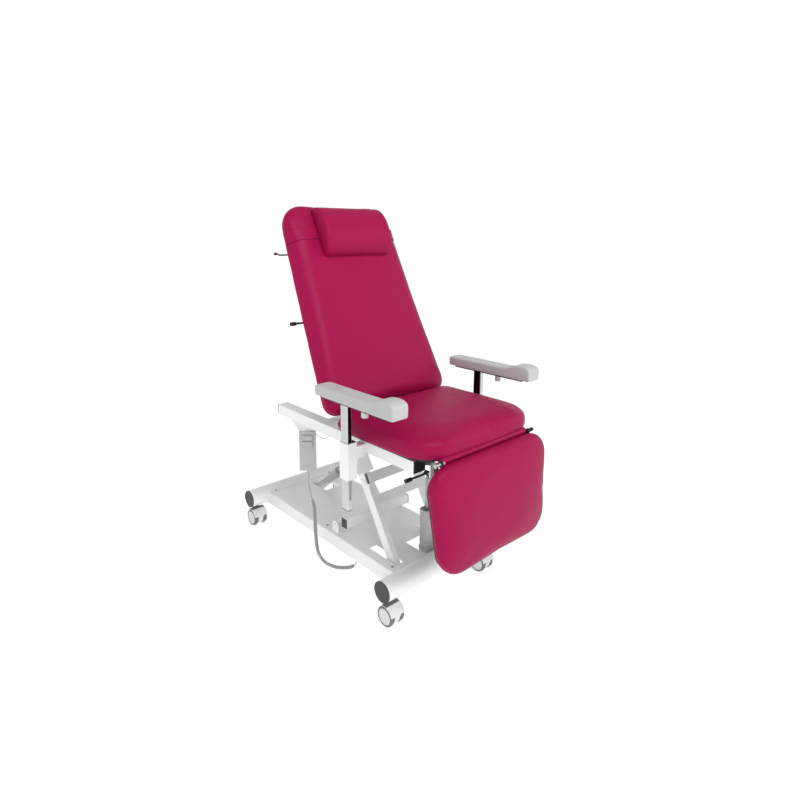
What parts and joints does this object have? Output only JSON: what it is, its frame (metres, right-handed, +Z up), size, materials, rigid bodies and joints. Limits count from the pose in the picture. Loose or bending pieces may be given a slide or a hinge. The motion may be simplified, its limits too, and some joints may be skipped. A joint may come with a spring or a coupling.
{
  "type": "rest armchair",
  "caption": "Wheeled rest armchair with padded seat, reclining backrest, head pillow, legrest, raised arm pads on posts, a parallelogram seat lift and a corded handset.",
  "frame": {"origin": "middle of the base's footprint on the floor, under the middle of the chair's overall length and width", "axes": "X runs across the chair, -Y is the front where the legrest hangs, +Z is up"},
  "size_m": [0.765, 1.2978, 1.5012],
  "materials": {
    "white_paint": "semi-gloss powder coat",
    "white_plastic": "satin",
    "tread": "matt",
    "dark_plastic": "matt",
    "black_plastic": "matt",
    "grey_plastic": "matt",
    "light_plastic": "matt",
    "pad_foam": "matt",
    "light_sheet": "satin",
    "satin_steel": "satin",
    "black_board": "matt",
    "black_paint": "satin",
    "vinyl": "smooth coated cloth, soft sheen",
    "cord": "matt"
  },
  "bodies": {
    "base": {"base_tube_front": "white_paint", "base_tube_rear": "white_paint", "base_rail_near": "white_paint", "base_rail_far": "white_paint", "base_cover": "white_paint", "tube_caps": "dark_plastic", "bar_brackets": "white_paint", "control_column": "grey_plastic", "cord_lead": "cord", "cord_coil": "cord"},
    "caster_front_near": {"caster_front_near": "white_plastic"},
    "caster_front_far": {"caster_front_far": "white_plastic"},
    "caster_rear_near": {"caster_rear_near": "white_plastic"},
    "caster_rear_far": {"caster_rear_far": "white_plastic"},
    "wheels_front_near": {"wheels_front_near": "tread"},
    "wheels_front_far": {"wheels_front_far": "tread"},
    "wheels_rear_near": {"wheels_rear_near": "tread"},
    "wheels_rear_far": {"wheels_rear_far": "tread"},
    "pedal_near": {"pedal_near": "dark_plastic"},
    "pedal_far": {"pedal_far": "dark_plastic"},
    "front_links": {"front_link_near": "white_paint", "front_link_far": "white_paint", "link_crossbars": "white_paint"},
    "rear_arm": {"torque_bar": "white_paint", "rear_arm": "white_paint"},
    "motor_body": {"motor_body": "grey_plastic"},
    "motor_rod": {"motor_rod": "satin_steel"},
    "seat": {"seat_rail_near": "white_paint", "seat_rail_far": "white_paint", "rail_caps": "black_plastic", "seat_crossbars": "white_paint", "seat_spine": "white_paint", "seat_legs": "white_paint", "sleeves": "white_paint", "sleeve_bushings": "black_plastic", "hinge_plates": "satin_steel", "leg_roll": "vinyl", "seat_board": "black_board", "seat_cushion": "vinyl", "handset_holder": "light_sheet", "handset": "grey_plastic"},
    "key_up": {"key_up": "light_plastic"},
    "key_down": {"key_down": "light_plastic"},
    "seat_lever": {"seat_lever": "black_plastic"},
    "backrest": {"back_tubes": "black_paint", "back_crossbars": "black_paint", "back_board": "black_board", "back_cushion": "vinyl", "head_pillow": "vinyl", "pillow_strap": "vinyl"},
    "lever_upper": {"lever_upper": "black_plastic"},
    "lever_lower": {"lever_lower": "black_plastic"},
    "legrest": {"leg_board": "black_board", "leg_cushion": "vinyl"},
    "post_near": {"post_near": "satin_steel"},
    "post_far": {"post_far": "satin_steel"},
    "arm_pad_near": {"arm_pad_near": "pad_foam"},
    "arm_pad_far": {"arm_pad_far": "pad_foam"},
    "knob_near": {"knob_near": "light_plastic"},
    "knob_far": {"knob_far": "light_plastic"}
  },
  "joints": [
    {"name": "swivel_front_near", "type": "hinge", "parent": "base", "child": "caster_front_near", "pos_m": [-0.256, -0.351, 0.087], "axis": [0, 0, 1], "continuous": true},
    {"name": "roll_front_near", "type": "hinge", "parent": "caster_front_near", "child": "wheels_front_near", "pos_m": [-0.256, -0.366, 0.0375], "axis": [1, 0, 0], "continuous": true},
    {"name": "swivel_front_far", "type": "hinge", "parent": "base", "child": "caster_front_far", "pos_m": [0.256, -0.351, 0.087], "axis": [0, 0, 1], "continuous": true},
    {"name": "roll_front_far", "type": "hinge", "parent": "caster_front_far", "child": "wheels_front_far", "pos_m": [0.256, -0.366, 0.0375], "axis": [1, 0, 0], "continuous": true},
    {"name": "swivel_rear_near", "type": "hinge", "parent": "base", "child": "caster_rear_near", "pos_m": [-0.256, 0.609, 0.087], "axis": [0, 0, 1], "continuous": true},
    {"name": "roll_rear_near", "type": "hinge", "parent": "caster_rear_near", "child": "wheels_rear_near", "pos_m": [-0.256, 0.594, 0.0375], "axis": [1, 0, 0], "continuous": true},
    {"name": "swivel_rear_far", "type": "hinge", "parent": "base", "child": "caster_rear_far", "pos_m": [0.256, 0.609, 0.087], "axis": [0, 0, 1], "continuous": true},
    {"name": "roll_rear_far", "type": "hinge", "parent": "caster_rear_far", "child": "wheels_rear_far", "pos_m": [0.256, 0.594, 0.0375], "axis": [1, 0, 0], "continuous": true},
    {"name": "brake_near", "type": "hinge", "parent": "caster_front_near", "child": "pedal_near", "pos_m": [-0.256, -0.339, 0.066], "axis": [1, 0, 0], "range_deg": [-10, 0]},
    {"name": "brake_far", "type": "hinge", "parent": "caster_front_far", "child": "pedal_far", "pos_m": [0.256, -0.339, 0.066], "axis": [1, 0, 0], "range_deg": [-10, 0]},
    {"name": "lift", "type": "hinge", "parent": "base", "child": "front_links", "pos_m": [0, -0.266, 0.11], "axis": [1, 0, 0], "range_deg": [-28, 0]},
    {"name": "seat_level", "type": "hinge", "parent": "front_links", "child": "seat", "pos_m": [0, -0.08682, 0.41298], "axis": [1, 0, 0], "range_deg": [0, 28]},
    {"name": "rear_arm_turn", "type": "hinge", "parent": "base", "child": "rear_arm", "pos_m": [0, 0.06, 0.178], "axis": [1, 0, 0], "range_deg": [-28, 0]},
    {"name": "motor_tilt", "type": "hinge", "parent": "base", "child": "motor_body", "pos_m": [0.067, 0.554, 0.086], "axis": [1, 0, 0], "range_deg": [-0.1, 1.1]},
    {"name": "motor_stroke", "type": "slide", "parent": "motor_body", "child": "motor_rod", "axis": [0, -0.7639, 0.6453], "range_m": [-0.124, 0]},
    {"name": "backrest_tilt", "type": "hinge", "parent": "seat", "child": "backrest", "pos_m": [0, -0.061, 0.69], "axis": [1, 0, 0], "range_deg": [-64, 0]},
    {"name": "legrest_tilt", "type": "hinge", "parent": "seat", "child": "legrest", "pos_m": [0, -0.573, 0.668], "axis": [1, 0, 0], "range_deg": [-84, 0]},
    {"name": "post_height_near", "type": "slide", "parent": "seat", "child": "post_near", "axis": [0, 0, 1], "range_m": [-0.05, 0.06]},
    {"name": "arm_swing_near", "type": "hinge", "parent": "post_near", "child": "arm_pad_near", "pos_m": [-0.353, -0.241, 0.822], "axis": [0, 0, 1], "range_deg": [-90, 0]},
    {"name": "knob_turn_near", "type": "hinge", "parent": "arm_pad_near", "child": "knob_near", "pos_m": [-0.353, -0.341, 0.8], "axis": [0, 0, 1], "range_deg": [-90, 90]},
    {"name": "post_height_far", "type": "slide", "parent": "seat", "child": "post_far", "axis": [0, 0, 1], "range_m": [-0.05, 0.06]},
    {"name": "arm_swing_far", "type": "hinge", "parent": "post_far", "child": "arm_pad_far", "pos_m": [0.353, -0.241, 0.822], "axis": [0, 0, 1], "range_deg": [0, 90]},
    {"name": "knob_turn_far", "type": "hinge", "parent": "arm_pad_far", "child": "knob_far", "pos_m": [0.353, -0.341, 0.8], "axis": [0, 0, 1], "range_deg": [-90, 90]},
    {"name": "key_up_press", "type": "slide", "parent": "seat", "child": "key_up", "axis": [0.6428, 0.766, 0], "range_m": [0, 0.0015], "stiffness_N_per_m": 400},
    {"name": "key_down_press", "type": "slide", "parent": "seat", "child": "key_down", "axis": [0.6428, 0.766, 0], "range_m": [0, 0.0015], "stiffness_N_per_m": 400},
    {"name": "seat_lever_lift", "type": "hinge", "parent": "seat", "child": "seat_lever", "pos_m": [-0.128, -0.411, 0.554], "axis": [0, 1, 0], "range_deg": [0, 12], "stiffness_Nm_per_rad": 1.5, "springref_deg": -5.73},
    {"name": "upper_lever_pull", "type": "hinge", "parent": "backrest", "child": "lever_upper", "pos_m": [-0.226, 0.25301, 1.29833], "axis": [0, -0.9041, 0.4274], "range_deg": [-12, 0], "stiffness_Nm_per_rad": 1.5, "springref_deg": 5.73},
    {"name": "lower_lever_pull", "type": "hinge", "parent": "backrest", "child": "lever_lower", "pos_m": [-0.226, 0.13035, 1.03886], "axis": [0, -0.9041, 0.4274], "range_deg": [-12, 0], "stiffness_Nm_per_rad": 1.5, "springref_deg": 5.73}
  ],
  "couplings": [
    {"joint": "seat_level", "follows": "lift", "ratio": -1},
    {"joint": "rear_arm_turn", "follows": "lift", "ratio": 1},
    {"joint": "motor_tilt", "follows": "lift", "ratio": -0.0331},
    {"joint": "motor_stroke", "follows": "lift", "m_per_rad": 0.2486}
  ]
}
